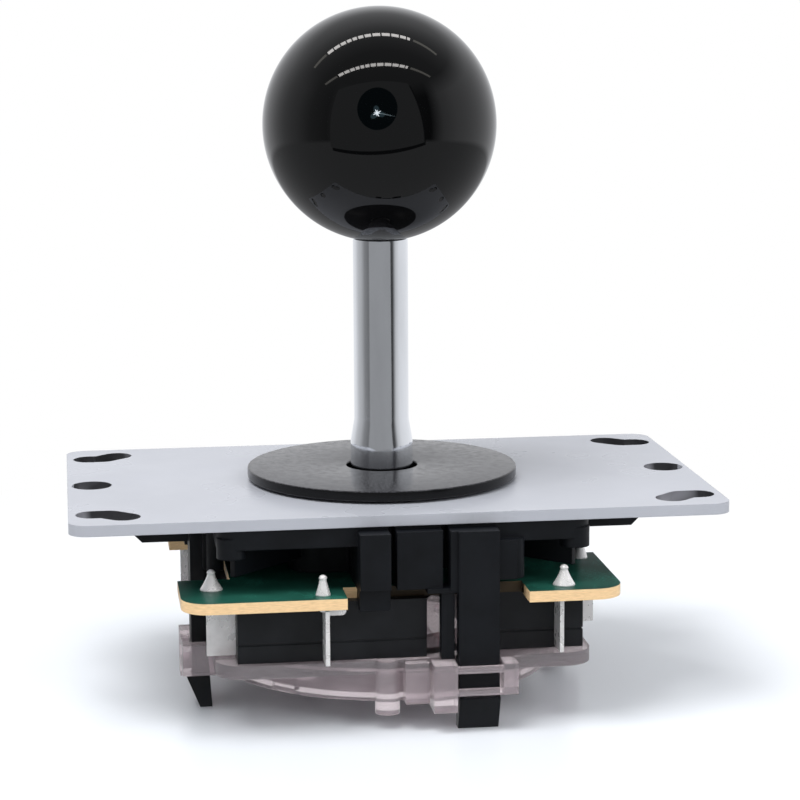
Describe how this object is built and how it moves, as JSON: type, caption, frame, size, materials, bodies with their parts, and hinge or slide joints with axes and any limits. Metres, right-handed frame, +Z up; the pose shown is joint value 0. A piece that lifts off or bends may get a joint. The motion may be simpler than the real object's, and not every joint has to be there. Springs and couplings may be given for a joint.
{
  "type": "arcade joystick",
  "caption": "Ball-top arcade joystick lever unit: flat mounting plate, sprung lever in a ball socket, microswitches on a circuit board, clip-on clear gate.",
  "frame": {"origin": "on the lever's axis, in the plane of the mounting plate's top face, midway between the two end holes", "axes": "+X along the plate's length to the right, +Y away from the player, +Z up along the lever"},
  "size_m": [0.0954, 0.0654, 0.1025],
  "materials": {
    "ball_black": "high gloss",
    "chromed_steel": "polished",
    "white_nylon": "satin",
    "black_plastic": "moulded satin",
    "washer_grey": "satin",
    "plate_paint": "smooth light grey paint",
    "bright_steel": "satin",
    "board_green": "glossy lacquer on a pale edge",
    "solder": "bright",
    "switch_black": "moulded",
    "button_red": "satin",
    "connector_white": "satin",
    "pin_brass": "bright",
    "clear_plastic": "clear with a faint warm tint"
  },
  "bodies": {
    "frame": {"mounting_plate": "plate_paint", "plate_screws": "bright_steel", "housing": "black_plastic", "circuit_board": "board_green", "solder_joints": "solder", "connector_header": "connector_white", "connector_pins": "pin_brass", "gate_base": "clear_plastic", "gate_restrictor": "clear_plastic", "switch_case_front": "switch_black", "terminals_front": "solder", "switch_case_right": "switch_black", "terminals_right": "solder", "switch_case_back": "switch_black", "terminals_back": "solder", "switch_case_left": "switch_black", "terminals_left": "solder"},
    "spring": {"centering_spring": "bright_steel"},
    "lever": {"ball_top": "ball_black", "shaft": "chromed_steel", "pivot_ball": "white_nylon", "actuator": "black_plastic", "retaining_clip": "bright_steel"},
    "slip_disc": {"slip_disc": "washer_grey"},
    "dust_washer": {"dust_washer": "washer_grey"},
    "button_front": {"switch_button_front": "button_red"},
    "button_right": {"switch_button_right": "button_red"},
    "button_back": {"switch_button_back": "button_red"},
    "button_left": {"switch_button_left": "button_red"}
  },
  "joints": [
    {"name": "lever_side", "type": "hinge", "parent": "frame", "child": "spring", "pos_m": [0, 0, -0.007], "axis": [0, 1, 0], "range_deg": [-11, 11], "stiffness_Nm_per_rad": 0.25, "deforming": ["centering_spring"]},
    {"name": "lever_fore", "type": "hinge", "parent": "spring", "child": "lever", "pos_m": [0, 0, -0.007], "axis": [1, 0, 0], "range_deg": [-11, 11], "stiffness_Nm_per_rad": 0.25},
    {"name": "washer_side", "type": "slide", "parent": "frame", "child": "slip_disc", "axis": [1, 0, 0], "range_m": [-0.0018, 0.0018]},
    {"name": "washer_fore", "type": "slide", "parent": "slip_disc", "child": "dust_washer", "axis": [0, 1, 0], "range_m": [-0.0018, 0.0018]},
    {"name": "button_front_travel", "type": "slide", "parent": "frame", "child": "button_front", "axis": [0, 1, 0], "range_m": [-0.00195, 0.00195]},
    {"name": "button_right_travel", "type": "slide", "parent": "frame", "child": "button_right", "axis": [1, 0, 0], "range_m": [-0.00195, 0.00195]},
    {"name": "button_back_travel", "type": "slide", "parent": "frame", "child": "button_back", "axis": [0, 1, 0], "range_m": [-0.00195, 0.00195]},
    {"name": "button_left_travel", "type": "slide", "parent": "frame", "child": "button_left", "axis": [1, 0, 0], "range_m": [-0.00195, 0.00195]}
  ],
  "couplings": [
    {"joint": "washer_side", "follows": "lever_side", "m_per_rad": 0.0088},
    {"joint": "washer_fore", "follows": "lever_fore", "m_per_rad": -0.0088},
    {"joint": "button_front_travel", "follows": "lever_fore", "m_per_rad": 0.01005},
    {"joint": "button_back_travel", "follows": "lever_fore", "m_per_rad": 0.01005},
    {"joint": "button_right_travel", "follows": "lever_side", "m_per_rad": -0.01005},
    {"joint": "button_left_travel", "follows": "lever_side", "m_per_rad": -0.01005}
  ]
}
